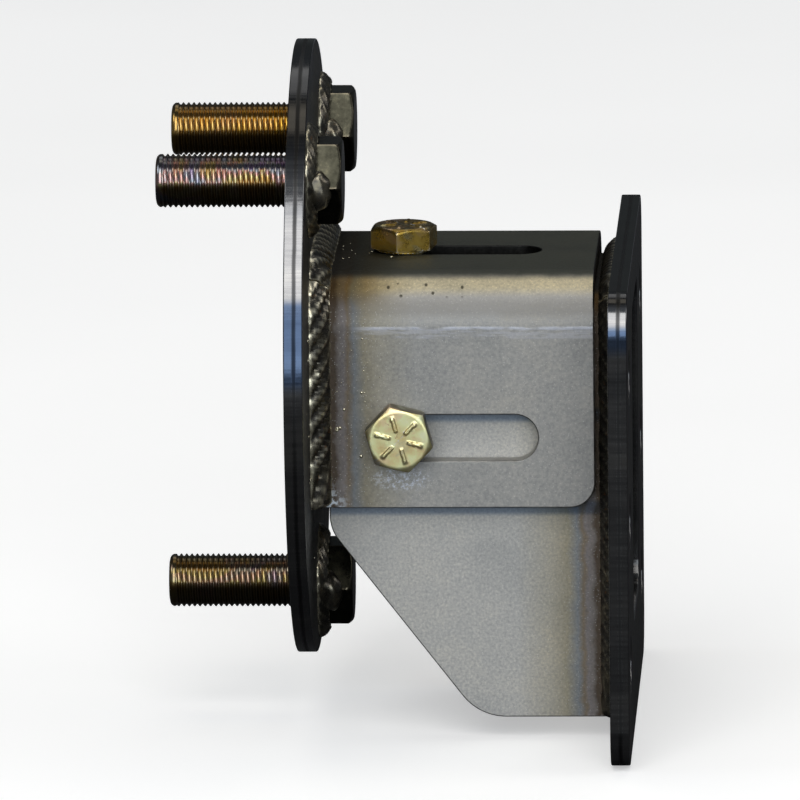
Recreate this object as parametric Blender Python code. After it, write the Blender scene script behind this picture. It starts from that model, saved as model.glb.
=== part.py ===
"""Adjustable spare tire carrier: a wheel plate on a slotted sleeve that slides over a fixed channel.

Units are metres. The origin is the centre of the base plate's mounting face. The bracket reaches
out along -X from it, +Z is up, and the near side faces -Y. The sleeve is modelled fully retracted.
Round pieces are faceted, so a hole that turns round a shaft is sized by its flats.
"""

from math import cos, pi, radians, sin, sqrt, tan

import bmesh
import bpy
from mathutils import Matrix, Vector

# Sheet metal, and the clearances between pieces.
PLATE = 0.00455             # 7 gauge sheet, used for every plate and channel
GAP = 0.0003                # between pieces that touch or are welded
SLEEVE_SIDE_FIT = 0.0005    # sleeve to inner channel, on each side
SLEEVE_TOP_FIT = 0.0003     # sleeve to inner channel, above
THREAD_FIT = 0.00005        # clamp bolt in its nut
HOLE_CLEARANCE = 0.0004     # round hole round a bolt or stud, on each side
SLOT_CLEARANCE = 0.0008     # slot round a clamp bolt, on each side

# Base plate.
BASE_WIDTH = 0.1397
BASE_HEIGHT = 0.1135
BASE_CORNER = 0.010
BASE_HOLE_D = 0.0135
BASE_HOLE_INSET = 0.01935   # hole centre from the plate's side edge
BASE_HOLE_PITCH = 0.0345
HOLES_PER_SIDE = 3
WINDOW_HEIGHT = 0.0755
WINDOW_MARGIN = 0.001       # window edge inside the channel's inner faces
WINDOW_CORNER = 0.006

# Outer sleeve.
SLEEVE_WIDTH = 0.070
SLEEVE_HEIGHT = 0.0553
SLEEVE_LENGTH = 0.06665
SLEEVE_TOP_DROP = 0.00175   # sleeve's top below the base plate's top edge
SLEEVE_BEND = 0.012         # outside bend radius
SLEEVE_CORNER = 0.006
SLEEVE_TRAVEL = 0.0279      # how far it slides before a slot's end meets its bolt
SLOT_END_PLAY = 0.0023      # spare slot behind the bolt when retracted
SIDE_SLOT_RISE = 0.01685    # side slot's centre above the sleeve's bottom edge
SLEEVE_SAG = 0.0007         # the sleeve hangs this much below centre on its side bolts

# Inner channel.
CHANNEL_BEND = 0.010
TIGHTEST_INSIDE_BEND = 0.001      # on either channel
CHANNEL_END_CLEARANCE = 0.00395   # channel's free end to the wheel plate
CHANNEL_FOOT_MARGIN = 0.00475     # channel's bottom edge above the base plate's
CHANNEL_NOSE_DEPTH = 0.0567       # straight front edge, from the channel's top
CHANNEL_FOOT_LENGTH = 0.0321      # straight bottom edge, from the base plate
CHANNEL_NOSE_RADIUS = 0.010
CHANNEL_FOOT_RADIUS = 0.013

# Wheel plate and its studs, on three places of a five-stud circle.
STUD_CIRCLE = 0.1143
STUD_PLACES = 5
WHEEL_RIM_MARGIN = 0.01585  # plate's rim outside the stud circle
WHEEL_CENTRE_DROP = 0.023   # plate's centre below the sleeve's top
STUD_D = 0.0127
STUD_LENGTH = 0.0361        # under the head
STUD_HEAD_FLATS = 0.01905
STUD_HEAD_HEIGHT = 0.00794
STUD_TIP_CHAMFER = 0.0012

# Clamp bolts and nuts.
CLAMP_D = 0.009525
CLAMP_LENGTH = 0.0254       # under the head
CLAMP_HEAD_FLATS = 0.01429
CLAMP_HEAD_HEIGHT = 0.00595
CLAMP_TIP_CHAMFER = 0.0009
CLAMP_FROM_NOSE = 0.017     # bolt axis from the inner channel's free end
NUT_HEIGHT = 0.00833
HEAD_CHAMFER = 0.0009
HEAD_FACE_SHARE = 0.96      # round face of a head or nut, as a share of its width across flats
NEAR_HEAD_TURN = radians(-14)
TOP_HEAD_TURN = radians(20)

# Welds.
SLEEVE_WELD_LEG = 0.005
BASE_WELD_LEG = 0.0033
BASE_WELD_WIDTH = 0.0040
STUD_WELD_LEG = 0.003
WELD_CROWN = 0.58           # how far a bead's middle bulges, as a share of its leg
RETRACTED_CLEARANCE = 0.0005   # sleeve's end to the base weld

# Facets.
ROUND_SIDES = 24
RIM_SIDES = 96
ARC_STEP = radians(11.25)
SLOT_END_STEPS = 12
SAME_ANGLE = 1e-6           # angles closer than this count as one
CUT_OVERRUN = 0.010         # how far cutters reach past what they cut

# Heights, from the base plate's centre.
BASE_TOP = BASE_HEIGHT / 2
SLEEVE_TOP = BASE_TOP - SLEEVE_TOP_DROP
SLEEVE_BOTTOM = SLEEVE_TOP - SLEEVE_HEIGHT
CHANNEL_TOP = SLEEVE_TOP - PLATE - SLEEVE_TOP_FIT
CHANNEL_BOTTOM = CHANNEL_FOOT_MARGIN - BASE_TOP
CHANNEL_WIDTH = SLEEVE_WIDTH - 2 * (PLATE + SLEEVE_SIDE_FIT)
SIDE_SLOT_Z = SLEEVE_BOTTOM + SIDE_SLOT_RISE
SIDE_BOLT_Z = SIDE_SLOT_Z + SLEEVE_SAG
WHEEL_CENTRE_Z = SLEEVE_TOP - WHEEL_CENTRE_DROP

# Places along X, from the mounting face.
BASE_FRONT = -PLATE
CHANNEL_FOOT_X = BASE_FRONT - GAP
SLEEVE_END_X = BASE_FRONT - GAP - BASE_WELD_LEG - RETRACTED_CLEARANCE
SLEEVE_WELD_X = SLEEVE_END_X - SLEEVE_LENGTH
WHEEL_INNER_X = SLEEVE_WELD_X - GAP
WHEEL_OUTER_X = WHEEL_INNER_X - PLATE
CHANNEL_NOSE_X = WHEEL_INNER_X + CHANNEL_END_CLEARANCE
CLAMP_X = CHANNEL_NOSE_X + CLAMP_FROM_NOSE

# Shared widths.
SLOT_WIDTH = CLAMP_D + 2 * SLOT_CLEARANCE
SLOT_FRONT_X = CLAMP_X - CLAMP_D / 2 - SLOT_END_PLAY
SLOT_BACK_X = CLAMP_X + CLAMP_D / 2 + SLEEVE_TRAVEL
WHEEL_RADIUS = STUD_CIRCLE / 2 + WHEEL_RIM_MARGIN


# ---------------------------------------------------------------- scene helpers

def clear_scene():
    for thing in list(bpy.data.objects):
        bpy.data.objects.remove(thing, do_unlink=True)


def finish(name, colour, roughness, metallic):
    material = bpy.data.materials.new(name)
    material.use_nodes = True
    shader = material.node_tree.nodes["Principled BSDF"]
    shader.inputs["Base Color"].default_value = (*colour, 1.0)
    shader.inputs["Roughness"].default_value = roughness
    shader.inputs["Metallic"].default_value = metallic
    return material


def empty(name, location):
    holder = bpy.data.objects.new(name, None)
    holder.location = location
    bpy.context.scene.collection.objects.link(holder)
    return holder


def add_object(name, shape, parent=None, material=None, smooth=False):
    mesh = bpy.data.meshes.new(name)
    bmesh.ops.recalc_face_normals(shape, faces=shape.faces)
    shape.to_mesh(mesh)
    shape.free()
    if smooth:
        mesh.shade_smooth()
        mesh.set_sharp_from_angle(angle=radians(35))
    if material:
        mesh.materials.append(material)
    thing = bpy.data.objects.new(name, mesh)
    thing.parent = parent
    bpy.context.scene.collection.objects.link(thing)
    return thing


def carve(body, cutter, operation="DIFFERENCE"):
    cutter.hide_render = True
    cutter.display_type = "WIRE"
    cut = body.modifiers.new(cutter.name, "BOOLEAN")
    cut.operation = operation
    cut.solver = "EXACT"
    cut.object = cutter


# ---------------------------------------------------------------- outlines

def circle(centre, radius, sides):
    angles = [2 * pi * i / sides for i in range(sides)]
    return [(centre[0] + radius * cos(a), centre[1] + radius * sin(a)) for a in angles]


def rounded(corners):
    """The outline through corners given as (a, b, radius), with each corner turned into an arc."""
    points = []
    for index, (a, b, radius) in enumerate(corners):
        here = Vector((a, b))
        if radius == 0:
            points.append((a, b))
            continue
        before = (Vector(corners[index - 1][:2]) - here).normalized()
        after = (Vector(corners[(index + 1) % len(corners)][:2]) - here).normalized()
        half = before.angle(after) / 2
        start = here + before * (radius / tan(half))
        centre = here + (before + after).normalized() * (radius / sin(half))
        turn = before.angle_signed(after)
        sweep = (pi - 2 * half) * (1 if turn > 0 else -1)
        steps = max(2, round(abs(sweep) / ARC_STEP))
        spoke = start - centre
        for step in range(steps + 1):
            angle = sweep * step / steps
            points.append((
                centre.x + spoke.x * cos(angle) - spoke.y * sin(angle),
                centre.y + spoke.x * sin(angle) + spoke.y * cos(angle),
            ))
    return points


def rectangle(low_a, high_a, low_b, high_b, radius=0):
    return rounded([
        (low_a, low_b, radius),
        (high_a, low_b, radius),
        (high_a, high_b, radius),
        (low_a, high_b, radius),
    ])


def slot(low_a, high_a, centre_b, width):
    """A straight slot with round ends, along the first axis."""
    radius = width / 2
    arc = [pi * step / SLOT_END_STEPS - pi / 2 for step in range(SLOT_END_STEPS + 1)]
    right = [(high_a - radius + radius * cos(t), centre_b + radius * sin(t)) for t in arc]
    left = [(low_a + radius - radius * cos(t), centre_b - radius * sin(t)) for t in arc]
    return right + left


# ---------------------------------------------------------------- solids

PLACES = {
    "X": lambda a, b, along: (along, a, b),
    "Y": lambda a, b, along: (a, along, b),
    "Z": lambda a, b, along: (a, b, along),
}


def prism(loops, axis, start, end):
    """Extrudes an outline, and any holes listed after it, from start to end along an axis."""
    shape = bmesh.new()
    place = PLACES[axis]
    edges = []
    for loop in loops:
        corners = [shape.verts.new(place(a, b, start)) for a, b in loop]
        edges += [shape.edges.new((corners[i - 1], corners[i])) for i in range(len(corners))]
    if len(loops) == 1:
        bmesh.ops.contextual_create(shape, geom=edges)
    else:
        bmesh.ops.triangle_fill(shape, edges=edges, use_beauty=True)
    grown = bmesh.ops.extrude_face_region(shape, geom=shape.faces[:], use_keep_orig=True)
    moved = [item for item in grown["geom"] if isinstance(item, bmesh.types.BMVert)]
    bmesh.ops.translate(shape, verts=moved, vec=place(0, 0, end - start))
    return shape


def round_ring(height, radius):
    return [(x, y, height) for x, y in circle((0, 0), radius, ROUND_SIDES)]


def hex_ring(height, flats):
    """A hexagon with as many points as a round ring, its corners among them."""
    points = []
    for step in range(ROUND_SIDES):
        angle = 2 * pi * step / ROUND_SIDES
        off_flat = angle % (pi / 3) - pi / 6
        reach = flats / 2 / cos(off_flat)
        points.append((reach * cos(angle), reach * sin(angle), height))
    return points


def loft(rings, hollow=False):
    """Skins a stack of rings. A hollow stack closes on itself, and a solid one is capped."""
    shape = bmesh.new()
    stack = [[shape.verts.new(point) for point in ring] for ring in rings]
    pairs = list(zip(stack, stack[1:]))
    if hollow:
        pairs.append((stack[-1], stack[0]))
    else:
        shape.faces.new(stack[0])
        shape.faces.new(stack[-1])
    for lower, upper in pairs:
        for i in range(len(lower)):
            shape.faces.new((lower[i - 1], lower[i], upper[i], upper[i - 1]))
    return shape


def headed_bolt(diameter, length, flats, head_height, tip_chamfer):
    """A hex head bolt along local Z: the head's underside is at 0, and the tip points down."""
    radius = diameter / 2
    return loft([
        round_ring(-length, radius - tip_chamfer),
        round_ring(-length + tip_chamfer, radius),
        round_ring(0, radius),
        hex_ring(0, flats),
        hex_ring(head_height - HEAD_CHAMFER, flats),
        round_ring(head_height, flats / 2 * HEAD_FACE_SHARE),
    ])


def hex_nut(flats, height, bore_radius):
    """A nut along local Z, from 0 down."""
    return loft([
        round_ring(0, bore_radius),
        round_ring(0, flats / 2 * HEAD_FACE_SHARE),
        hex_ring(-HEAD_CHAMFER, flats),
        hex_ring(HEAD_CHAMFER - height, flats),
        round_ring(-height, flats / 2 * HEAD_FACE_SHARE),
        round_ring(-height, bore_radius),
    ], hollow=True)


def channel_blank(width, top, bottom, bend, start, end):
    """A U-section, open below, with rounded bends, along X."""
    outer = width / 2
    inner = outer - PLATE
    inside_bend = max(bend - PLATE, TIGHTEST_INSIDE_BEND)
    section = rounded([
        (-outer, bottom, 0),
        (-outer, top, bend),
        (outer, top, bend),
        (outer, bottom, 0),
        (inner, bottom, 0),
        (inner, top - PLATE, inside_bend),
        (-inner, top - PLATE, inside_bend),
        (-inner, bottom, 0),
    ])
    return prism([section], "X", start, end)


def bead_path(width, top, bottom, bend, start_angle, end_angle):
    """Points and outward directions along a channel's outside, seen along X.

    Angle 0 is the near side and 180 the far side, measured over the top. A path that starts at 0
    or ends at 180 runs on down that side to the bottom.
    """
    side = width / 2 - bend
    stops = []
    if start_angle == 0:
        stops.append((-width / 2, bottom, -1.0, 0.0))
    steps = max(2, round((end_angle - start_angle) / ARC_STEP))
    for step in range(steps + 1):
        angle = start_angle + (end_angle - start_angle) * step / steps
        out_y = -cos(angle)
        out_z = sin(angle)
        centre_y = side if angle > pi / 2 else -side
        stops.append((centre_y + bend * out_y, top - bend + bend * out_z, out_y, out_z))
        if abs(angle - pi / 2) < SAME_ANGLE:
            stops.append((side, top, 0.0, 1.0))
    if end_angle == pi:
        stops.append((width / 2, bottom, 1.0, 0.0))
    return stops


def weld_bead(path, face_x, away, leg, width):
    """A crowned fillet bead along a path, in the corner with a plate at face_x."""
    profile = [
        (GAP, GAP),
        (GAP + leg, GAP),
        (GAP + leg * WELD_CROWN, GAP + width * WELD_CROWN),
        (GAP, GAP + width),
    ]
    rings = []
    for y, z, out_y, out_z in path:
        rings.append([
            (face_x + away * along, y + out_y * off, z + out_z * off) for along, off in profile
        ])
    return loft(rings)


def weld_runs(name, outside, face_x, away, leg, width, parent, material):
    """Three beads round a channel's outside, given as (width, top, bottom, bend).

    The near, top and far runs meet halfway round the bends, a gap apart.
    """
    half_gap = GAP / 2 / outside[-1]
    first = pi / 4
    last = 3 * pi / 4
    spans = {
        "near": (0, first - half_gap),
        "top": (first + half_gap, last - half_gap),
        "far": (last + half_gap, pi),
    }
    for side, (start, end) in spans.items():
        shape = weld_bead(bead_path(*outside, start, end), face_x, away, leg, width)
        add_object(f"{name}_{side}", shape, parent, material)


def ring_bead(inner_radius, leg):
    """A crowned bead round a hex head, standing on the plate at local Z 0."""
    return loft([
        round_ring(GAP, inner_radius),
        round_ring(GAP + leg, inner_radius),
        round_ring(GAP + leg * WELD_CROWN, inner_radius + leg * WELD_CROWN),
        round_ring(GAP, inner_radius + leg),
    ], hollow=True)


# ---------------------------------------------------------------- base bracket

def base_plate(parent, material):
    half = BASE_WIDTH / 2
    outline = rectangle(-half, half, -BASE_TOP, BASE_TOP, BASE_CORNER)
    window_half = CHANNEL_WIDTH / 2 - PLATE - WINDOW_MARGIN
    window_top = CHANNEL_TOP - PLATE - WINDOW_MARGIN
    window = rectangle(
        -window_half, window_half, window_top - WINDOW_HEIGHT, window_top, WINDOW_CORNER
    )
    hole_y = half - BASE_HOLE_INSET
    middle = (HOLES_PER_SIDE - 1) / 2
    holes = [
        circle((side * hole_y, (row - middle) * BASE_HOLE_PITCH), BASE_HOLE_D / 2, ROUND_SIDES)
        for side in (-1, 1)
        for row in range(HOLES_PER_SIDE)
    ]
    shape = prism([outline, window, *holes], "X", BASE_FRONT, 0)
    return add_object("base_plate", shape, parent, material)


def inner_channel(parent, material):
    overrun = CUT_OVERRUN
    shape = channel_blank(
        CHANNEL_WIDTH, CHANNEL_TOP, CHANNEL_BOTTOM - overrun, CHANNEL_BEND,
        CHANNEL_NOSE_X - overrun, CHANNEL_FOOT_X,
    )
    channel = add_object("inner_channel", shape, parent, material)
    side_view = rounded([
        (CHANNEL_NOSE_X, CHANNEL_TOP + overrun, 0),
        (CHANNEL_NOSE_X, CHANNEL_TOP - CHANNEL_NOSE_DEPTH, CHANNEL_NOSE_RADIUS),
        (BASE_FRONT - CHANNEL_FOOT_LENGTH, CHANNEL_BOTTOM, CHANNEL_FOOT_RADIUS),
        (overrun, CHANNEL_BOTTOM, 0),
        (overrun, CHANNEL_TOP + overrun, 0),
    ])
    reach = CHANNEL_WIDTH / 2 + overrun
    profile = add_object("channel_profile", prism([side_view], "Y", -reach, reach), parent)
    carve(channel, profile, "INTERSECT")
    radius = CLAMP_D / 2 + HOLE_CLEARANCE
    side_hole = circle((CLAMP_X, SIDE_BOLT_Z), radius, ROUND_SIDES)
    side_cutter = add_object("channel_side_holes", prism([side_hole], "Y", -reach, reach), parent)
    carve(channel, side_cutter)
    top_hole = circle((CLAMP_X, 0), radius, ROUND_SIDES)
    top_shape = prism([top_hole], "Z", CHANNEL_TOP - PLATE - overrun, CHANNEL_TOP + overrun)
    carve(channel, add_object("channel_top_hole", top_shape, parent))
    return channel


# ---------------------------------------------------------------- clamp bolts

def clamp_places():
    """Each bolt's side name, the point under its head, its outward direction and its head's turn."""
    reach = SLEEVE_WIDTH / 2 + GAP
    return [
        ("near", Vector((CLAMP_X, -reach, SIDE_BOLT_Z)), Vector((0, -1, 0)), NEAR_HEAD_TURN),
        ("top", Vector((CLAMP_X, 0, SLEEVE_TOP + GAP)), Vector((0, 0, 1)), TOP_HEAD_TURN),
        ("far", Vector((CLAMP_X, reach, SIDE_BOLT_Z)), Vector((0, 1, 0)), -NEAR_HEAD_TURN),
    ]


def point_along(thing, location, outward, turn):
    """Puts local Z along outward and local X along the bracket, then turns it about its axis."""
    across = outward.cross(Vector((1, 0, 0)))
    frame = Matrix((Vector((1, 0, 0)), across, outward)).transposed().to_4x4()
    thing.matrix_local = Matrix.Translation(location) @ frame @ Matrix.Rotation(turn, 4, "Z")


def clamp_hardware(parent, bolt_material, nut_material):
    through_both = GAP + SLEEVE_SIDE_FIT + 2 * PLATE
    through_top = GAP + SLEEVE_TOP_FIT + 2 * PLATE
    bore = (CLAMP_D / 2 + THREAD_FIT) / cos(pi / ROUND_SIDES)
    for side, location, outward, turn in clamp_places():
        shape = headed_bolt(
            CLAMP_D, CLAMP_LENGTH, CLAMP_HEAD_FLATS, CLAMP_HEAD_HEIGHT, CLAMP_TIP_CHAMFER
        )
        bolt = add_object(f"clamp_bolt_{side}", shape, parent, bolt_material, smooth=True)
        point_along(bolt, location, outward, turn)
        grip = through_top if side == "top" else through_both
        nut = add_object(
            f"nut_{side}", hex_nut(CLAMP_HEAD_FLATS, NUT_HEIGHT, bore), parent, nut_material,
            smooth=True,
        )
        point_along(nut, location - outward * (grip + GAP), outward, 0)


# ---------------------------------------------------------------- wheel carriage

def stud_places():
    """The three used places of the stud circle, as (name, y, z), from the near upper one."""
    step = 2 * pi / STUD_PLACES
    radius = STUD_CIRCLE / 2
    turns = {"near": -step / 2, "far": step / 2, "lower": pi}
    return [
        (name, radius * sin(turn), WHEEL_CENTRE_Z + radius * cos(turn))
        for name, turn in turns.items()
    ]


def wheel_plate(parent, material):
    outline = circle((0, WHEEL_CENTRE_Z), WHEEL_RADIUS, RIM_SIDES)
    hole = STUD_D / 2 + HOLE_CLEARANCE
    holes = [circle((y, z), hole, ROUND_SIDES) for _, y, z in stud_places()]
    shape = prism([outline, *holes], "X", WHEEL_OUTER_X, WHEEL_INNER_X)
    return add_object("wheel_plate", shape, parent, material, smooth=True)


def outer_sleeve(parent, material):
    overrun = CUT_OVERRUN
    shape = channel_blank(
        SLEEVE_WIDTH, SLEEVE_TOP, SLEEVE_BOTTOM - overrun, SLEEVE_BEND,
        SLEEVE_WELD_X, SLEEVE_END_X + overrun,
    )
    sleeve = add_object("outer_sleeve", shape, parent, material)
    side_view = rounded([
        (SLEEVE_WELD_X - overrun, SLEEVE_TOP + overrun, 0),
        (SLEEVE_WELD_X - overrun, SLEEVE_BOTTOM, 0),
        (SLEEVE_END_X, SLEEVE_BOTTOM, SLEEVE_CORNER),
        (SLEEVE_END_X, SLEEVE_TOP + overrun, 0),
    ])
    reach = SLEEVE_WIDTH / 2 + overrun
    profile = add_object("sleeve_profile", prism([side_view], "Y", -reach, reach), parent)
    carve(sleeve, profile, "INTERSECT")
    side_slot = slot(SLOT_FRONT_X, SLOT_BACK_X, SIDE_SLOT_Z, SLOT_WIDTH)
    side_cutter = add_object("sleeve_side_slots", prism([side_slot], "Y", -reach, reach), parent)
    carve(sleeve, side_cutter)
    top_slot = slot(SLOT_FRONT_X, SLOT_BACK_X, 0, SLOT_WIDTH)
    top_shape = prism([top_slot], "Z", SLEEVE_TOP - PLATE - overrun, SLEEVE_TOP + overrun)
    carve(sleeve, add_object("sleeve_top_slot", top_shape, parent))
    return sleeve


def wheel_studs(parent, stud_material, weld_material):
    inward = Vector((1, 0, 0))
    frame = Matrix((Vector((0, 1, 0)), Vector((0, 0, 1)), inward)).transposed().to_4x4()
    corner_radius = STUD_HEAD_FLATS / sqrt(3)
    for name, y, z in stud_places():
        shape = headed_bolt(
            STUD_D, STUD_LENGTH, STUD_HEAD_FLATS, STUD_HEAD_HEIGHT, STUD_TIP_CHAMFER
        )
        stud = add_object(f"wheel_stud_{name}", shape, parent, stud_material, smooth=True)
        stud.matrix_local = Matrix.Translation((WHEEL_INNER_X + GAP, y, z)) @ frame
        ring = ring_bead(corner_radius + GAP, STUD_WELD_LEG)
        bead = add_object(f"stud_weld_{name}", ring, parent, weld_material, smooth=True)
        bead.matrix_local = Matrix.Translation((WHEEL_INNER_X, y, z)) @ frame


# ---------------------------------------------------------------- assembly

def build():
    clear_scene()
    mill_scale = finish("dark_plate", (0.06, 0.06, 0.058), 0.55, 0.7)
    pickled = finish("pickled_steel", (0.30, 0.29, 0.27), 0.5, 0.8)
    bead = finish("weld_bead", (0.07, 0.065, 0.06), 0.45, 0.8)
    yellow_zinc = finish("yellow_zinc", (0.62, 0.47, 0.2), 0.3, 0.9)
    dark_zinc = finish("dark_zinc", (0.16, 0.12, 0.06), 0.38, 0.85)

    bracket = empty("base_bracket_frame", (0, 0, 0))
    base_plate(bracket, mill_scale)
    inner_channel(bracket, pickled)
    weld_runs(
        "base_weld", (CHANNEL_WIDTH, CHANNEL_TOP, CHANNEL_BOTTOM, CHANNEL_BEND),
        BASE_FRONT, -1, BASE_WELD_LEG, BASE_WELD_WIDTH, bracket, bead,
    )
    clamp_hardware(bracket, yellow_zinc, yellow_zinc)

    carriage = empty("wheel_carriage_frame", (0, 0, 0))
    carriage.parent = bracket
    wheel_plate(carriage, mill_scale)
    outer_sleeve(carriage, pickled)
    weld_runs(
        "sleeve_weld", (SLEEVE_WIDTH, SLEEVE_TOP, SLEEVE_BOTTOM, SLEEVE_BEND),
        WHEEL_INNER_X, 1, SLEEVE_WELD_LEG, SLEEVE_WELD_LEG, carriage, bead,
    )
    wheel_studs(carriage, dark_zinc, bead)


build()
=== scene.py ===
"""Looks for an adjustable spare tire carrier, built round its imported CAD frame.

Units are metres, in the CAD frame: the base plate's mounting face is at X 0, the bracket reaches out
along -X, +Z is up, and the near side faces -Y. Every mesh is made in that frame, with its object at
the origin, so a material's object coordinates are places on the bracket at rest.
"""

import random
from collections import namedtuple
from math import ceil, cos, hypot, pi, radians, sin, sqrt, tan

import bmesh
import bpy
from mathutils import Matrix, Quaternion, Vector, noise


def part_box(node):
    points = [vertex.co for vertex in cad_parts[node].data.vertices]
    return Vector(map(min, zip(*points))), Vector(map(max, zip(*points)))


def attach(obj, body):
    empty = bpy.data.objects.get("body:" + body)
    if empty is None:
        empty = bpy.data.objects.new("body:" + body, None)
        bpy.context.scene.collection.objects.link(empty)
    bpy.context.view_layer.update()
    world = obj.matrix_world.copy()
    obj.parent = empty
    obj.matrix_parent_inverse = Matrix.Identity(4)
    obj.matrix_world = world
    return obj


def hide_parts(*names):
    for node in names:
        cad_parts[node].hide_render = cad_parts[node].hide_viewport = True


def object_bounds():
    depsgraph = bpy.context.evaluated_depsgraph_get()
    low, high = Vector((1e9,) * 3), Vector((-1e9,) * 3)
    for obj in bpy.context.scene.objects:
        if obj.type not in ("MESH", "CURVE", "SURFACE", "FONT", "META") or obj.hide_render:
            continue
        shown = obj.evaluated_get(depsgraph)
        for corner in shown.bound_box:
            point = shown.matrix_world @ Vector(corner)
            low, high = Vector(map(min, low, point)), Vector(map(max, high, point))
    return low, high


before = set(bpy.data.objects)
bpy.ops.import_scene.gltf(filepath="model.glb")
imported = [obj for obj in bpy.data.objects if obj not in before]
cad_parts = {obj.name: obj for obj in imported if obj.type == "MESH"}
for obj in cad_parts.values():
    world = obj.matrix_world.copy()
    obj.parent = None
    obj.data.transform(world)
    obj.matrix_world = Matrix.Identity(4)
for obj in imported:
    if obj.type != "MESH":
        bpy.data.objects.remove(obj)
cad_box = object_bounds()

# ---- sizes that the CAD shares

PLATE = 0.00455
BASE_CORNER = 0.010
BASE_HOLE_D = 0.0135
BASE_HOLE_INSET = 0.01935
BASE_HOLE_PITCH = 0.0345
WINDOW_HEIGHT = 0.0755
WINDOW_MARGIN = 0.001
WINDOW_CORNER = 0.006
SLEEVE_BEND = 0.012
SLEEVE_CORNER = 0.006
SLOT_WIDTH = 0.011125
SLOT_FRONT = 0.00706  # slot's ends, from the clamp bolt's axis
SLOT_BACK = 0.03266
SIDE_SLOT_RISE = 0.01685
CHANNEL_BEND = 0.010
CHANNEL_NOSE_DEPTH = 0.0567
CHANNEL_FOOT_LENGTH = 0.0321
CHANNEL_NOSE_RADIUS = 0.010
CHANNEL_FOOT_RADIUS = 0.013
CHANNEL_HOLE_D = 0.010325
STUD_HOLE_D = 0.0135
STUD_D = 0.0127
STUD_PITCH = 0.00127
STUD_FLATS = 0.01905
STUD_HEAD = 0.00794
STUD_WELD_INNER = 0.0110
STUD_WELD_LEG = 0.003
CLAMP_D = 0.009525
CLAMP_PITCH = 0.0015875
CLAMP_FLATS = 0.01429
CLAMP_HEAD = 0.00595
NUT_HEIGHT = 0.00833
NEAR_HEAD_TURN = radians(-14)
TOP_HEAD_TURN = radians(20)
SLEEVE_WELD_LEG = 0.0053
BASE_WELD_LEG = 0.0036
BASE_WELD_WIDTH = 0.0043

# Places that the CAD's own boxes give.
base_low, base_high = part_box("base_plate")
channel_low, channel_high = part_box("inner_channel")
sleeve_low, sleeve_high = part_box("outer_sleeve")
wheel_low, wheel_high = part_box("wheel_plate")
near_bolt_low, near_bolt_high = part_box("clamp_bolt_near")
CLAMP_X = (near_bolt_low.x + near_bolt_high.x) / 2
SIDE_BOLT_Z = (near_bolt_low.z + near_bolt_high.z) / 2
SIDE_SLOT_Z = sleeve_low.z + SIDE_SLOT_RISE
WHEEL_CENTRE_Z = (wheel_low.z + wheel_high.z) / 2
WHEEL_RADIUS = (wheel_high.z - wheel_low.z) / 2

# Fineness of the visible meshes.
BEND_STEP = radians(3)
HOLE_SIDES = 64
DISC_SIDES = 288
SLOT_END_STEPS = 20
EDGE = 0.0003  # rounding of cut edges
EDGE_SHOULDER = 0.3  # where the rounding's middle point lies, as a share of it
SHEET_TOLERANCE = 0.00004
OVER = 0.01  # how far blanks and cutters run past the piece
SHARP_EDGE = radians(38)  # edges that stay sharp, on a turned piece and on a plate
SHARP_PLATE_EDGE = radians(50)
CUT_CORNER = radians(40)
GLINT = "glint"  # the vertex attribute for how bright a weld's crest is


# ---- outlines

def circle(centre, radius, sides):
    angles = [2 * pi * i / sides for i in range(sides)]
    return [(centre[0] + radius * cos(a), centre[1] + radius * sin(a)) for a in angles]


def rounded(corners):
    """The outline through corners given as (a, b, radius), with each corner turned into an arc."""
    points = []
    for index, (a, b, radius) in enumerate(corners):
        here = Vector((a, b))
        if radius == 0:
            points.append((a, b))
            continue
        before = (Vector(corners[index - 1][:2]) - here).normalized()
        after = (Vector(corners[(index + 1) % len(corners)][:2]) - here).normalized()
        half = before.angle(after) / 2
        start = here + before * (radius / tan(half))
        centre = here + (before + after).normalized() * (radius / sin(half))
        turn = before.angle_signed(after)
        sweep = (pi - 2 * half) * (1 if turn > 0 else -1)
        steps = max(2, round(abs(sweep) / BEND_STEP))
        spoke = start - centre
        for step in range(steps + 1):
            angle = sweep * step / steps
            points.append((
                centre.x + spoke.x * cos(angle) - spoke.y * sin(angle),
                centre.y + spoke.x * sin(angle) + spoke.y * cos(angle),
            ))
    return points


def rectangle(low_a, high_a, low_b, high_b, radius):
    return rounded([
        (low_a, low_b, radius),
        (high_a, low_b, radius),
        (high_a, high_b, radius),
        (low_a, high_b, radius),
    ])


def slot(low_a, high_a, centre_b, width):
    radius = width / 2
    arc = [pi * step / SLOT_END_STEPS - pi / 2 for step in range(SLOT_END_STEPS + 1)]
    right = [(high_a - radius + radius * cos(t), centre_b + radius * sin(t)) for t in arc]
    left = [(low_a + radius - radius * cos(t), centre_b - radius * sin(t)) for t in arc]
    return right + left


# ---- meshes

PLACES = {
    "X": lambda a, b, along: (along, a, b),
    "Y": lambda a, b, along: (a, along, b),
    "Z": lambda a, b, along: (a, b, along),
}


def prism(loop, axis, start, end):
    shape = bmesh.new()
    place = PLACES[axis]
    rings = added(shape, [[place(a, b, along) for a, b in loop] for along in (start, end)])
    shape.faces.new(rings[0])
    shape.faces.new(rings[1][::-1])
    join(shape, rings[0], rings[1])
    return shape


def added(shape, rings):
    return [[shape.verts.new(point) for point in ring] for ring in rings]


def join(shape, few, many, material=0):
    """Faces between two closed rings, where one may have a whole number of times the other's points."""
    times = len(many) // len(few)
    for i in range(len(few)):
        run = [many[(i * times + k) % len(many)] for k in range(times + 1)]
        face = shape.faces.new([few[i], few[(i + 1) % len(few)], *run[::-1]])
        face.material_index = material


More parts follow.
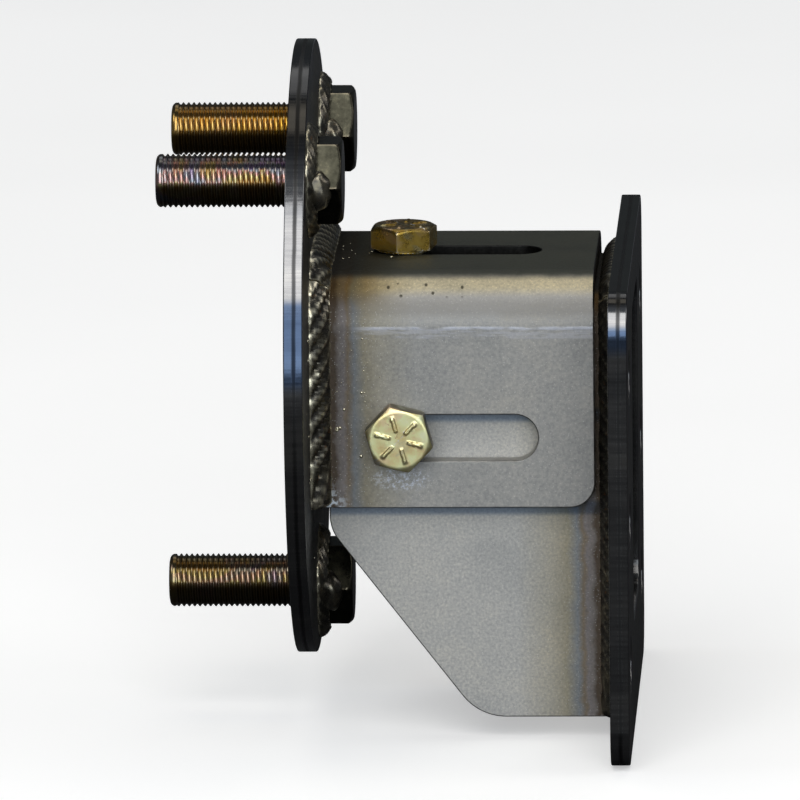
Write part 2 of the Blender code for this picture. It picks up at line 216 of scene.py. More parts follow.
def loft(shape, rings, closed=False):
    """Skins rings of equal length, capped at both ends or closed on themselves."""
    stack = added(shape, rings)
    for lower, upper in zip(stack, stack[1:]):
        join(shape, lower, upper)
    if closed:
        join(shape, stack[-1], stack[0])
    else:
        shape.faces.new(stack[0])
        shape.faces.new(stack[-1])
    return stack


def soft_slab(loops, start, end):
    """A plate across X. Each loop is a function of how far its edge is drawn back into the metal."""
    shape = bmesh.new()
    shoulder = EDGE * EDGE_SHOULDER
    levels = [
        (start, EDGE), (start + shoulder, shoulder), (start + EDGE, 0),
        (end - EDGE, 0), (end - shoulder, shoulder), (end, EDGE),
    ]
    ends = {start: [], end: []}
    for loop in loops:
        stack = added(shape, [[(x, y, z) for y, z in loop(drawn)] for x, drawn in levels])
        for lower, upper in zip(stack, stack[1:]):
            join(shape, lower, upper, 1)
        for x, ring in ((start, stack[0]), (end, stack[-1])):
            ends[x] += [shape.edges.get((ring[i - 1], ring[i])) for i in range(len(ring))]
    for edges in ends.values():
        bmesh.ops.triangle_fill(shape, edges=edges, use_beauty=True)
    return shape


def loose(name, shape):
    bmesh.ops.recalc_face_normals(shape, faces=shape.faces)
    mesh = bpy.data.meshes.new(name)
    shape.to_mesh(mesh)
    shape.free()
    thing = bpy.data.objects.new(name, mesh)
    bpy.context.scene.collection.objects.link(thing)
    return thing


def piece(name, shape, body, node, materials, is_plate=False):
    """A visible piece that rides a body, stands for a CAD node if given, and takes a slot."""
    thing = loose(name, shape)
    thing.data.shade_smooth()
    thing.data.set_sharp_from_angle(angle=SHARP_PLATE_EDGE if is_plate else SHARP_EDGE)
    for material in materials:
        thing.data.materials.append(material)
    if is_plate:
        normals = thing.modifiers.new("flat_faces", "WEIGHTED_NORMAL")
        normals.keep_sharp = True
    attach(thing, body)
    if node:
        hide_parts(node)


def carved(name, blank, cutters):
    """The blank with its cutters taken off and its sharp edges rounded."""
    body = loose(name + "_blank", blank)
    things = [body]
    for operation, shape in cutters:
        things.append(loose(name + "_cutter", shape))
        cut = body.modifiers.new("cut", "BOOLEAN")
        cut.operation = operation
        cut.solver = "EXACT"
        cut.object = things[-1]
    edge = body.modifiers.new("edge", "BEVEL")
    edge.width = EDGE
    edge.segments = 2
    edge.limit_method = "ANGLE"
    edge.angle_limit = CUT_CORNER
    bpy.context.view_layer.update()
    made = bpy.data.meshes.new_from_object(
        body.evaluated_get(bpy.context.evaluated_depsgraph_get())
    )
    shape = bmesh.new()
    shape.from_mesh(made)
    bpy.data.meshes.remove(made)
    for thing in things:
        bpy.data.objects.remove(thing, do_unlink=True)
    return shape


# ---- material recipes

class Nodes:
    """Shorthand for wiring one node tree. A value given is a socket, a number or a colour."""

    def __init__(self, tree):
        self.tree = tree

    def node(self, kind, **settings):
        made = self.tree.nodes.new(kind)
        for key, value in settings.items():
            setattr(made, key, value)
        return made

    def feed(self, value, socket):
        if isinstance(value, bpy.types.NodeSocket):
            self.tree.links.new(value, socket)
        else:
            socket.default_value = value

    def split(self, vector):
        made = self.node("ShaderNodeSeparateXYZ")
        self.feed(vector, made.inputs[0])
        return made.outputs

    def math(self, operation, a, b=0.0):
        made = self.node("ShaderNodeMath", operation=operation)
        self.feed(a, made.inputs[0])
        self.feed(b, made.inputs[1])
        return made.outputs[0]

    def plus(self, a, b):
        return self.math("ADD", a, b)

    def minus(self, a, b):
        return self.math("SUBTRACT", a, b)

    def times(self, a, b):
        return self.math("MULTIPLY", a, b)

    def smooth(self, value, low, high, start=0.0, end=1.0):
        """A soft step from start to end, as the value goes from low to high."""
        made = self.node("ShaderNodeMapRange", interpolation_type="SMOOTHSTEP")
        for index, given in enumerate((value, low, high, start, end)):
            self.feed(given, made.inputs[index])
        return made.outputs[0]

    def stripe(self, value, centre, half, soft):
        off = self.math("ABSOLUTE", self.minus(value, centre))
        return self.smooth(off, half, half + soft, 1.0, 0.0)

    def ramp(self, value, stops):
        made = self.node("ShaderNodeValToRGB")
        elements = made.color_ramp.elements
        while len(elements) < len(stops):
            elements.new(0.5)
        for element, (where, colour) in zip(elements, stops):
            element.position = where
            element.color = (*colour, 1.0)
        self.feed(value, made.inputs[0])
        return made.outputs[0]

    def mix(self, share, a, b, blend="MIX"):
        made = self.node("ShaderNodeMix", data_type="RGBA", blend_type=blend)
        for value, index in ((share, 0), (a, 6), (b, 7)):
            if isinstance(value, tuple):
                value = (*value, 1.0)
            self.feed(value, made.inputs[index])
        return made.outputs[2]

    def tint(self, colour, share, by):
        return self.mix(share, colour, by, "MULTIPLY")

    def coats(self, colour, *coats):
        """The colour under coats of paint, each given as (where, how thick at most, colour)."""
        for where, most, coat in coats:
            colour = self.mix(self.times(where, most), colour, coat)
        return colour


class Recipe(Nodes):
    """One procedural material, with its places read from object coordinates in metres."""

    def __init__(self, name, metallic):
        self.material = bpy.data.materials.new(name)
        self.material.use_nodes = True
        super().__init__(self.material.node_tree)
        self.shader = self.tree.nodes["Principled BSDF"]
        self.shader.inputs["Metallic"].default_value = metallic
        self.place = self.node("ShaderNodeTexCoord").outputs["Object"]
        self.x, self.y, self.z = self.split(self.place)

    def noise(self, scale, detail=3.0, rough=0.55, stretch=None, warp=0.0):
        made = self.node("ShaderNodeTexNoise")
        place = self.place
        if stretch:
            mapping = self.node("ShaderNodeMapping")
            self.feed(place, mapping.inputs[0])
            mapping.inputs["Scale"].default_value = stretch
            place = mapping.outputs[0]
        self.feed(place, made.inputs["Vector"])
        made.inputs["Scale"].default_value = scale
        made.inputs["Detail"].default_value = detail
        made.inputs["Roughness"].default_value = rough
        made.inputs["Distortion"].default_value = warp
        return made.outputs["Fac"]

    def cells(self, scale, flat=False):
        """Distance to the nearest of some scattered points, which run on along Y if flat."""
        made = self.node("ShaderNodeTexVoronoi")
        place = self.place
        if flat:
            made.voronoi_dimensions = "2D"
            side_on = self.node("ShaderNodeCombineXYZ")
            self.feed(self.x, side_on.inputs[0])
            self.feed(self.z, side_on.inputs[1])
            place = side_on.outputs[0]
        self.feed(place, made.inputs["Vector"])
        made.inputs["Scale"].default_value = scale
        return made.outputs["Distance"]

    def drifting(self, value, noise, size):
        """The value, moved up and down by a noise."""
        return self.plus(value, self.times(self.minus(noise, 0.5), size))

    def standing_out(self, low, high):
        """Where the surface stands out on itself, or is hollow if low is above high."""
        return self.smooth(self.node("ShaderNodeNewGeometry").outputs["Pointiness"], low, high)

    def own_normal(self):
        return self.split(self.node("ShaderNodeTexCoord").outputs["Normal"])

    def done(self, colour, roughness, relief, deep, strength):
        """The material, with its relief cut in by a depth in metres."""
        bump = self.node("ShaderNodeBump")
        bump.inputs["Strength"].default_value = strength
        bump.inputs["Distance"].default_value = deep
        self.feed(relief, bump.inputs["Height"])
        self.feed(colour, self.shader.inputs["Base Color"])
        self.feed(roughness, self.shader.inputs["Roughness"])
        self.feed(bump.outputs[0], self.shader.inputs["Normal"])
        return self.material


# How far a surface stands out on itself where a crest begins and is full, and the same for a hollow.
CREST = (0.52, 0.595)
HOLLOW = (0.47, 0.40)

# Heat tint beside a weld: colours at shares of the distance that the heat reached.
HEAT_REACH = 0.020
HEAT_STOPS = [
    (0.00, (0.24, 0.19, 0.15)),
    (0.05, (0.50, 0.46, 0.45)),
    (0.11, (0.56, 0.52, 0.53)),
    (0.16, (0.52, 0.43, 0.33)),
    (0.23, (0.54, 0.58, 0.63)),
    (0.36, (0.74, 0.69, 0.56)),
    (0.55, (0.90, 0.865, 0.77)),
    (0.95, (1.0, 1.0, 1.0)),
]

# Marks and painted shadow lines on the sheet's sides: half sizes, and places from the edge or bolt that
# made them.
LINE_HALF = 0.00010
BAND_DROP = 0.0013
BAND_HALF = 0.0008
# the painted shadow lines under the sleeve's edges
SHADOW_LINE_DROP = 0.0010
SHADOW_LINE_HALF = 0.0009
PIT_DROP = 0.0036
PIT_HALF = 0.0011
PIT_ASIDE = 0.006
PIT_REACH = 0.010
CHALK_ASIDE = 0.0005
CHALK_DROP = 0.0105
CHALK_WIDTH = 0.0075
CHALK_HEIGHT = 0.0034
SILVER_HEIGHT = 0.007
# depths of the cut edges' painted shade near the sleeve's top
TOP_SHADE_LOW = 0.009  # below the sleeve's top
TOP_SHADE_HIGH = 0.0065


def die_line(r, colour, line_z, side, off):
    """A thin polished scratch below the bend, and a broad faint band under it."""
    height = r.drifting(r.z, r.noise(60, 2), 0.0001)
    broken = r.smooth(r.noise(320, 3, 0.6, stretch=(0.35, 1, 1)), 0.36, 0.56)
    clear = r.times(side, r.smooth(off, 0.10, 0.55))
    line = r.times(r.times(r.stripe(height, line_z, LINE_HALF, 0.0005), broken), clear)
    drawn = r.smooth(r.noise(1500, 3, 0.6, stretch=(0.10, 1, 1)), 0.40, 0.62)
    band = r.times(r.times(r.stripe(height, line_z - BAND_DROP, BAND_HALF, 0.0007), drawn), clear)
    return r.coats(colour, (band, 0.40, (0.70, 0.71, 0.78)), (line, 0.62, (0.82, 0.84, 0.94))), line


def bend_painted_light_and_scorch(r, colour, drift, off):
    """Painted light by the normal's height: a pale, warm painted highlight on the bend's outside,
    painted shade on the top face and on the lower part of the bend, and a brown scorch over the bend and
    top near the weld.
    """
    up = r.split(r.node("ShaderNodeNewGeometry").outputs["Normal"])[2]
    lift = r.drifting(up, drift, 0.05)
    painted_bend_highlight = r.times(r.smooth(lift, 0.55, 0.76), r.smooth(lift, 0.975, 0.86))
    # painted highlight: a pale, warm band on the bend's outside
    colour = r.tint(colour, r.times(painted_bend_highlight, 0.9), (1.30, 1.18, 0.86))
    scorched = r.times(r.smooth(lift, 0.35, 0.62), r.smooth(off, 0.12, 0.85, 1.0, 0.0))
    colour = r.tint(colour, scorched, (0.60, 0.51, 0.35))
    # painted shade: the top face is darkened
    colour = r.tint(colour, r.smooth(lift, 0.84, 0.97), (0.12, 0.13, 0.11))
    # painted shade on the lower part of the bend
    shoulder = r.times(r.smooth(lift, 0.05, 0.34), r.smooth(lift, 0.74, 0.42))
    return r.tint(colour, shoulder, (0.60, 0.595, 0.59))


def painted_shadow_lines(r, colour, side):
    """Painted shadow: bluish dark lines on the channel just under the sleeve's lower edge and its slots'
    upper edges.
    """
    for edge_z in (sleeve_low.z, SIDE_SLOT_Z + SLOT_WIDTH / 2):
        # painted shadow, tinted blue, under each edge
        painted_shadow_line = r.times(r.stripe(r.z, edge_z - SHADOW_LINE_DROP, SHADOW_LINE_HALF, 0.0014), side)
        colour = r.tint(colour, r.times(painted_shadow_line, 0.85), (0.40, 0.50, 0.66))
    return colour


def sleeve_marks(r, colour, side, off):
    """A chalky smudge under each side bolt, and weld metal spilled at the sleeve's lower corner."""
    across = r.times(r.minus(r.x, CLAMP_X + CHALK_ASIDE), 1 / CHALK_WIDTH)
    down = r.times(r.minus(r.z, SIDE_BOLT_Z - CHALK_DROP), 1 / CHALK_HEIGHT)
    spread = r.plus(r.times(across, across), r.times(down, down))
    chalk = r.times(r.smooth(spread, 0.2, 1.2, 1.0, 0.0), side)
    chalk = r.times(chalk, r.smooth(r.noise(1300, 4, 0.75), 0.47, 0.62))
    silver = r.times(r.smooth(r.z, 0.0, SILVER_HEIGHT, 1.0, 0.0), r.smooth(off, 0.0, 0.22, 1.0, 0.0))
    silver = r.times(silver, r.smooth(r.noise(700, 3, 0.6), 0.42, 0.55))
    return r.coats(colour, (chalk, 0.75, (0.86, 0.90, 1.0)), (silver, 1.0, (0.80, 0.86, 0.92)))


def pickled_steel(name, pale, weld_x, toward, line_z, top_z, on_sleeve):
    """Oiled and pickled sheet: heat tint beside its weld, a die line below each bend, fine speckle."""
    r = Recipe(name, 0.85)
    cloud = r.noise(55, 5, 0.6, warp=0.6)
    drift = r.noise(210, 4, 0.6)
    fine = r.noise(1500, 3, 0.65)
    grain = r.noise(900, 3, 0.6, stretch=(0.12, 1, 1))
    off = r.times(r.minus(r.x, weld_x), toward / HEAT_REACH)
    off = r.drifting(off, drift, 0.16)
    colour = r.ramp(cloud, [
        (0.30, (0.86 * pale, 0.85 * pale, 0.82 * pale)),
        (0.52, (pale, 0.98 * pale, 0.935 * pale)),
        (0.75, (1.12 * pale, 1.085 * pale, 1.01 * pale)),
    ])
    colour = r.tint(colour, 1.0, r.ramp(off, HEAT_STOPS))
    colour = r.tint(colour, 0.85, r.ramp(fine, [
        (0.30, (0.72, 0.72, 0.74)), (0.52, (1.0, 1.0, 1.0)), (0.72, (1.26, 1.25, 1.22)),
    ]))
    bright = r.smooth(r.cells(1500), 0.05, 0.20, 0.60, 0.0)
    colour = r.mix(bright, colour, (0.95, 0.95, 0.92))
    side = r.smooth(r.math("ABSOLUTE", r.y), 0.020, 0.026)
    colour, line = die_line(r, colour, line_z, side, off)
    # painted light on the bends and the top, and scorch near the weld
    colour = bend_painted_light_and_scorch(r, colour, drift, off)
    # painted shadow lines on the channel, under the sleeve's edges
    if not on_sleeve:
        colour = painted_shadow_lines(r, colour, side)
    # a few dark pits on the bend, over the side bolt
    pits = r.smooth(r.cells(290, flat=True), 0.07, 0.13, 1.0, 0.0)
    pits = r.times(pits, r.stripe(r.z, top_z - PIT_DROP, PIT_HALF, 0.0006))
    pits = r.times(pits, r.stripe(r.x, CLAMP_X + PIT_ASIDE, PIT_REACH, 0.002))
    colour = r.mix(r.times(pits, 0.85), colour, (0.05, 0.045, 0.03))
    if on_sleeve:
        colour = sleeve_marks(r, colour, side, off)
    rough = r.plus(r.smooth(cloud, 0.25, 0.8, 0.56, 0.66), r.smooth(fine, 0.3, 0.7, -0.05, 0.07))
    rough = r.minus(rough, r.times(line, 0.18))
    relief = r.plus(fine, r.times(grain, 0.6))
    relief = r.minus(relief, r.times(pits, 1.5))
    relief = r.plus(relief, r.times(line, 0.5))
    return r.done(colour, rough, relief, 0.00004, 0.6)


def cut_edge():
    """The sawn and laser-cut edges of the sheet, with painted shade darkening them near the sleeve's
    top.
    """
    r = Recipe("cut_edge", 0.85)
    streak = r.noise(1400, 3, 0.6, stretch=(1, 0.15, 1))
    colour = r.ramp(r.noise(160, 4, 0.6), [
        (0.3, (0.20, 0.195, 0.185)), (0.55, (0.31, 0.305, 0.29)), (0.8, (0.42, 0.41, 0.385)),
    ])
    colour = r.tint(colour, 0.6, r.ramp(streak, [(0.3, (0.55, 0.55, 0.58)), (0.7, (1.3, 1.28, 1.22))]))
    # painted shade: the cut edges near the sleeve's top, such as the top slot's walls, are darkened
    painted_top_shade = r.smooth(r.z, sleeve_high.z - TOP_SHADE_LOW, sleeve_high.z - TOP_SHADE_HIGH)
    colour = r.tint(colour, painted_top_shade, (0.05, 0.05, 0.05))
    return r.done(colour, r.smooth(streak, 0.3, 0.7, 0.34, 0.52), streak, 0.00006, 0.6)


def mill_scale():
    """Hot-rolled plate with its dark scale on."""
    r = Recipe("mill_scale", 0.55)
    cloud = r.noise(38, 6, 0.62, warp=1.0)
    fine = r.noise(1100, 4, 0.65)
    flakes = r.smooth(r.noise(420, 5, 0.7), 0.60, 0.70)
    scuffs = r.smooth(r.noise(240, 3, 0.6, stretch=(1, 0.15, 1.2), warp=0.8), 0.63, 0.72)
    dots = r.smooth(r.cells(420), 0.05, 0.11, 1.0, 0.0)
    colour = r.ramp(cloud, [
        (0.30, (0.020, 0.021, 0.022)), (0.52, (0.036, 0.037, 0.037)), (0.72, (0.066, 0.063, 0.057)),
    ])
    colour = r.coats(
        colour, (flakes, 0.5, (0.11, 0.085, 0.06)), (scuffs, 0.45, (0.15, 0.15, 0.15)),
        (dots, 0.35, (0.30, 0.29, 0.27)),
    )
    rough = r.plus(r.smooth(cloud, 0.3, 0.7, 0.38, 0.55), r.smooth(fine, 0.3, 0.7, -0.06, 0.08))
    relief = r.plus(r.times(fine, 0.8), r.times(cloud, 1.5))
    relief = r.minus(relief, r.times(flakes, 0.8))
    return r.done(colour, rough, relief, 0.00006, 0.7)


def plate_rim(name, low, high, zones):
    """A flame-cut rim: lines through the thickness, and a dark parting line along the middle. Its colour
    also carries painted light in zones by height.
    """
    r = Recipe(name, 0.92)
    grey_shade_z, blue_reflection_z, bright_z, dark_z = zones
    lines = r.noise(2700, 2, 0.5, stretch=(0.03, 1, 1))
    middle = (low.x + high.x) / 2 + (high.x - low.x) * 0.04
    along = r.drifting(r.x, r.noise(70, 2), 0.0005)
    parting = r.stripe(along, middle, 0.00020, 0.0005)
    colour = r.ramp(r.noise(90, 4, 0.6, stretch=(0.3, 1, 1)), [
        (0.3, (0.15, 0.155, 0.165)), (0.55, (0.25, 0.25, 0.255)), (0.8, (0.37, 0.365, 0.35)),
    ])
    colour = r.tint(colour, 0.5, r.ramp(lines, [(0.32, (0.75, 0.75, 0.77)), (0.68, (1.22, 1.22, 1.20))]))
    colour = r.mix(r.times(parting, 0.75), colour, (0.008, 0.008, 0.008))
    # painted light by height, from the top down: painted dark shade, the bright zone left as it is, a
    # painted blue reflection and painted grey shade below it
    colour = r.tint(colour, r.smooth(r.z, bright_z, dark_z), (0.14, 0.14, 0.14))
    # painted blue reflection on the rim's lower part
    painted_blue_reflection = r.smooth(r.z, blue_reflection_z + 0.0012, blue_reflection_z - 0.0012)
    colour = r.tint(colour, painted_blue_reflection, (0.24, 0.34, 0.54))
    # painted grey shade: lower still, the blue is turned to a darker grey
    painted_grey_shade = r.smooth(r.z, grey_shade_z + 0.002, grey_shade_z - 0.002)
    colour = r.tint(colour, painted_grey_shade, (2.3, 1.6, 0.98))
    relief = r.minus(lines, r.times(parting, 1.2))
    rough = r.plus(r.smooth(lines, 0.3, 0.7, 0.10, 0.17), r.times(parting, 0.25))
    return r.done(colour, rough, relief, 0.00002, 0.3)


def weld_metal():
    """Dark, slagged weld bead with a little rust, and painted highlights on its crests."""
    r = Recipe("weld_metal", 0.85)
    cloud = r.noise(230, 5, 0.65)
    colour = r.ramp(cloud, [
        (0.30, (0.035, 0.033, 0.03)), (0.48, (0.085, 0.078, 0.065)), (0.62, (0.16, 0.14, 0.10)),
        (0.75, (0.26, 0.235, 0.19)),
    ])
    rust = r.smooth(r.noise(600, 4, 0.7), 0.60, 0.70)
    painted_glint = r.node("ShaderNodeAttribute", attribute_name=GLINT).outputs["Fac"]
    # painted highlights: the crests and the glint streaks are made pale
    colour = r.coats(
        colour, (rust, 0.5, (0.26, 0.11, 0.03)),
        (r.standing_out(*CREST), 0.85, (0.90, 0.83, 0.62)), (painted_glint, 0.95, (1.0, 0.92, 0.70)),
    )
    rough = r.plus(r.smooth(cloud, 0.3, 0.7, 0.30, 0.22), r.times(painted_glint, 0.10))
    return r.done(colour, rough, r.noise(1300, 4, 0.7), 0.00006, 0.5)


def zinc_head(name, tint, satin, axis, face, sides):
    """Yellow zinc on the clamp bolts and nuts. The face across the axis and the sides get their own
    brightness, which is painted light.
    """
    r = Recipe(name, 0.95)
    cloud = r.noise(240, 4, 0.6)
    blush = r.noise(130, 3, 0.5, warp=0.8)
    colour = r.ramp(cloud, [
        (0.30, (0.72, 0.60, 0.32)), (0.50, (0.90, 0.79, 0.50)), (0.70, (1.0, 0.92, 0.68)),
    ])
    colour = r.tint(colour, 1.0, tint)
    # painted light: the face across the axis and the sides are made brighter or darker by their own
    # factors
    facing = r.smooth(r.math("ABSOLUTE", r.own_normal()[axis]), 0.35, 0.80)
    colour = r.tint(colour, 1.0, r.ramp(facing, [(0.0, (sides,) * 3), (1.0, (face,) * 3)]))
    grime = r.smooth(r.noise(520, 5, 0.7), 0.60, 0.72)
    colour = r.coats(
        colour, (r.smooth(blush, 0.50, 0.66), 0.40, (0.52, 0.56, 0.42)),
        (r.smooth(blush, 0.45, 0.34), 0.35, (0.74, 0.52, 0.38)), (grime, 0.6, (0.16, 0.12, 0.05)),
        # painted shade in the hollows, and painted highlights on the edges
        (r.standing_out(*HOLLOW), 0.55, (0.10, 0.08, 0.04)),
        (r.standing_out(0.53, 0.60), 0.7, (0.98, 0.95, 0.86)),
    )
    rough = r.plus(r.smooth(cloud, 0.3, 0.7, satin, satin + 0.12), r.times(grime, 0.15))
    return r.done(colour, rough, r.noise(1500, 4, 0.7), 0.00003, 0.6)


def dark_zinc():
    """Dichromate zinc on the studs, darkened and rainbow-tinted by the weld's heat, with painted shade
    on the tops, undersides and thread roots and painted highlights on the crests.
    """
    r = Recipe("dark_zinc", 0.95)
    fine = r.noise(1200, 4, 0.7)
    tint = r.ramp(r.noise(95, 3, 0.5, warp=1.2), [
        (0.28, (0.40, 0.40, 0.16)), (0.40, (0.62, 0.36, 0.12)), (0.46, (0.66, 0.58, 0.30)),
        (0.52, (0.70, 0.42, 0.38)), (0.58, (0.46, 0.50, 0.52)), (0.66, (0.50, 0.38, 0.58)),
    ])
    far = r.smooth(r.y, 0.005, 0.025)
    low = r.smooth(r.z, 0.01, -0.01)
    tint = r.coats(tint, (far, 0.75, (0.78, 0.46, 0.04)), (low, 0.5, (0.38, 0.28, 0.11)))
    # the heads, inside the wheel plate, are scorched olive-grey
    inside = r.smooth(r.x, wheel_high.x - 0.001, wheel_high.x + 0.001)
    scorch = r.ramp(r.noise(260, 5, 0.65), [
        (0.30, (0.020, 0.020, 0.014)), (0.55, (0.058, 0.056, 0.040)), (0.75, (0.14, 0.13, 0.085)),
    ])
    # painted highlight: the thread crests are made paler
    colour = r.coats(r.mix(inside, tint, scorch), (r.standing_out(*CREST), 0.6, (0.55, 0.47, 0.33)))
    # painted shade: the tops and undersides are darkened by the normal's height, leaving only the sides
    # bright
    lift = r.drifting(r.own_normal()[2], fine, 0.15)
    painted_lit_sides = r.times(r.smooth(lift, -0.15, 0.12, 0.28, 1.0), r.smooth(lift, 0.42, 0.72, 1.0, 0.28))
    painted_lit_share = r.times(painted_lit_sides, r.smooth(inside, 0.0, 1.0, 0.66, 1.2))
    colour = r.tint(colour, 1.0, r.ramp(painted_lit_share, [(0.0, (0.0, 0.0, 0.0)), (1.0, (1.0, 1.0, 1.0))]))
    # painted shade in the thread roots
    colour = r.coats(colour, (r.standing_out(*HOLLOW), 0.8, (0.02, 0.016, 0.01)))
    rough = r.plus(r.smooth(fine, 0.3, 0.7, 0.12, 0.22), r.times(inside, 0.14))
    return r.done(colour, rough, fine, 0.00002, 0.5)


# ---- base plate and wheel plate

def base_plate(face, rim):
    half = base_high.y
    top = base_high.z
    window_half = channel_high.y - PLATE - WINDOW_MARGIN
    window_top = channel_high.z - PLATE - WINDOW_MARGIN
    hole_y = half - BASE_HOLE_INSET
    loops = [
        lambda d: rectangle(d - half, half - d, d - top, top - d, BASE_CORNER - d),
        lambda d: rectangle(
            -window_half - d, window_half + d, window_top - WINDOW_HEIGHT - d, window_top + d,
            WINDOW_CORNER + d,
        ),
    ]
    for side in (-1, 1):
        for row in (-1, 0, 1):
            centre = (side * hole_y, row * BASE_HOLE_PITCH)
            loops.append(lambda d, centre=centre: circle(centre, BASE_HOLE_D / 2 + d, HOLE_SIDES))
    shape = soft_slab(loops, base_low.x, base_high.x)
    piece("mounting_plate", shape, "base_bracket", "base_plate", [face, rim], True)


def stud_places():
    """Each stud's centre (y, z), and the ends of its length (x)."""
    places = {}
    for name in ("near", "far", "lower"):
        low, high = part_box(f"wheel_stud_{name}")
        places[name] = ((low.y + high.y) / 2, (low.z + high.z) / 2, low.x, high.x)
    return places


def wheel_plate(face, rim, studs):
    loops = [lambda d: circle((0, WHEEL_CENTRE_Z), WHEEL_RADIUS - d, DISC_SIDES)]
    for y, z, _, _ in studs.values():
        loops.append(lambda d, y=y, z=z: circle((y, z), STUD_HOLE_D / 2 + d, HOLE_SIDES))
    shape = soft_slab(loops, wheel_low.x, wheel_high.x)
    piece("wheel_disc", shape, "wheel_carriage", "wheel_plate", [face, rim], True)


# ---- channels

def u_blank(low, high, bend, start, end):
    inner = high.y - PLATE
    foot = low.z - OVER
    section = rounded([
        (-high.y, foot, 0),
        (-high.y, high.z, bend),
        (high.y, high.z, bend),
        (high.y, foot, 0),
        (inner, foot, 0),
        (inner, high.z - PLATE, bend - PLATE),
        (-inner, high.z - PLATE, bend - PLATE),
        (-inner, foot, 0),
    ])
    return prism(section, "X", start, end)


def mark_edges(shape, high, bend):
    """Gives faces that are not on the sheet's own two surfaces the cut-edge material."""
    for face in shape.faces:
        centre = face.calc_center_median()
        y = abs(centre.y)
        depth = min(high.y - y, high.z - centre.z)
        if y > high.y - bend and centre.z > high.z - bend:
            depth = bend - hypot(y - (high.y - bend), centre.z - (high.z - bend))
        on_sheet = depth < SHEET_TOLERANCE or depth > PLATE - SHEET_TOLERANCE
        flat_end = abs(face.normal.x) > 0.5
        face.material_index = 0 if on_sheet and not flat_end else 1


def folded(name, node, body, low, high, bend, ends, side_view, side_hole, top_hole, materials):
    """A U-section cut to its side view, with one hole through both sides and one in the top."""
    reach = high.y + OVER
    shape = carved(name, u_blank(low, high, bend, *ends), [
        ("INTERSECT", prism(rounded(side_view), "Y", -reach, reach)),
        ("DIFFERENCE", prism(side_hole, "Y", -reach, reach)),
        ("DIFFERENCE", prism(top_hole, "Z", high.z - PLATE - OVER, high.z + OVER)),
    ])
    mark_edges(shape, high, bend)
    piece(name, shape, body, node, materials, True)


def inner_channel(materials):
    low, high = channel_low, channel_high
    side_view = [
        (low.x, high.z + OVER, 0),
        (low.x, high.z - CHANNEL_NOSE_DEPTH, CHANNEL_NOSE_RADIUS),
        (base_low.x - CHANNEL_FOOT_LENGTH, low.z, CHANNEL_FOOT_RADIUS),
        (OVER, low.z, 0),
        (OVER, high.z + OVER, 0),
    ]
    folded(
        "fixed_channel", "inner_channel", "base_bracket", low, high, CHANNEL_BEND,
        (low.x - OVER, high.x), side_view,
        circle((CLAMP_X, SIDE_BOLT_Z), CHANNEL_HOLE_D / 2, HOLE_SIDES),
        circle((CLAMP_X, 0), CHANNEL_HOLE_D / 2, HOLE_SIDES), materials,
    )


def outer_sleeve(materials):
    low, high = sleeve_low, sleeve_high
    side_view = [
        (low.x - OVER, high.z + OVER, 0),
        (low.x - OVER, low.z, 0),
        (high.x, low.z, SLEEVE_CORNER),
        (high.x, high.z + OVER, 0),
    ]
    front = CLAMP_X - SLOT_FRONT
    back = CLAMP_X + SLOT_BACK
    folded(
        "sliding_sleeve", "outer_sleeve", "wheel_carriage", low, high, SLEEVE_BEND,
        (low.x, high.x + OVER), side_view, slot(front, back, SIDE_SLOT_Z, SLOT_WIDTH),
        slot(front, back, 0, SLOT_WIDTH), materials,
    )


# ---- bolts and nuts

THREAD_SIDES = 36
HEAD_SIDES = 144
NUT_SIDES = 72
STEPS_PER_PITCH = 8
THREAD_DEPTH = 0.44  # as a share of the pitch
THREAD_CREST = 0.16  # the crest's and the flank's shares of half a pitch
THREAD_FLANK = 0.6
SHANK = 0.985  # the plain shank, as a share of the thread's diameter
SHANK_PLAIN = 0.0016  # where the thread stops under the head
TIP_ROUND = 0.0015
TIP_FLAT = 0.8  # the tip's flat end, as a share of its first ring
TIP_FADE_END = 0.0020  # where the thread starts and is full, from the tip
TIP_FADE = 0.0008
ROUND_FACE = 0.955  # a head's round face, as a share of its flats
WASHER_FACE = 0.95
WASHER_HEIGHT = 0.00035
CHAMFER = radians(30)
STROKES = 6  # raised radial strokes on a clamp bolt's head
STROKE_HALF = 0.00055
STROKE_EDGE = 0.00026
STROKE_HEIGHT = 0.00034
STROKE_INNER = 0.30  # shares of the round face's radius
STROKE_OUTER = 0.86
STROKE_END = 0.05
NUT_MOUTH = 0.0006  # how much wider than the bore its mouth and its thread's root are
NUT_ROOT = 0.0005
NUT_DEPTH = 0.6  # the nut's thread, as a share of the bolt's


def clamp(value):
    return min(1, max(0, value))


def hex_reach(angle, flats):
    return flats / 2 / cos(angle % (pi / 3) - pi / 6)


def thread_root(angle, z, pitch):
    """How near a place is to the thread's root: 0 on the crest, 1 in the root."""
    turn = (z / pitch - angle / (2 * pi)) % 1
    return clamp((abs(2 * turn - 1) - THREAD_CREST) / THREAD_FLANK)


def thread_ring(z, radius, pitch, tip):
    """One ring of the shank at z. The thread fades out at the tip's chamfer and under the head."""
    fade = clamp(max((z + SHANK_PLAIN) / pitch, (tip + TIP_FADE_END - z) / TIP_FADE))
    from_tip = min(TIP_ROUND, z - tip)
    limit = radius - TIP_ROUND + sqrt(TIP_ROUND ** 2 - (TIP_ROUND - from_tip) ** 2)
    points = []
    for i in range(THREAD_SIDES):
        angle = 2 * pi * i / THREAD_SIDES
        reach = radius - THREAD_DEPTH * pitch * thread_root(angle, z, pitch)
        reach = min(reach + (radius * SHANK - reach) * fade, limit)
        points.append((reach * cos(angle), reach * sin(angle), z))
    return points


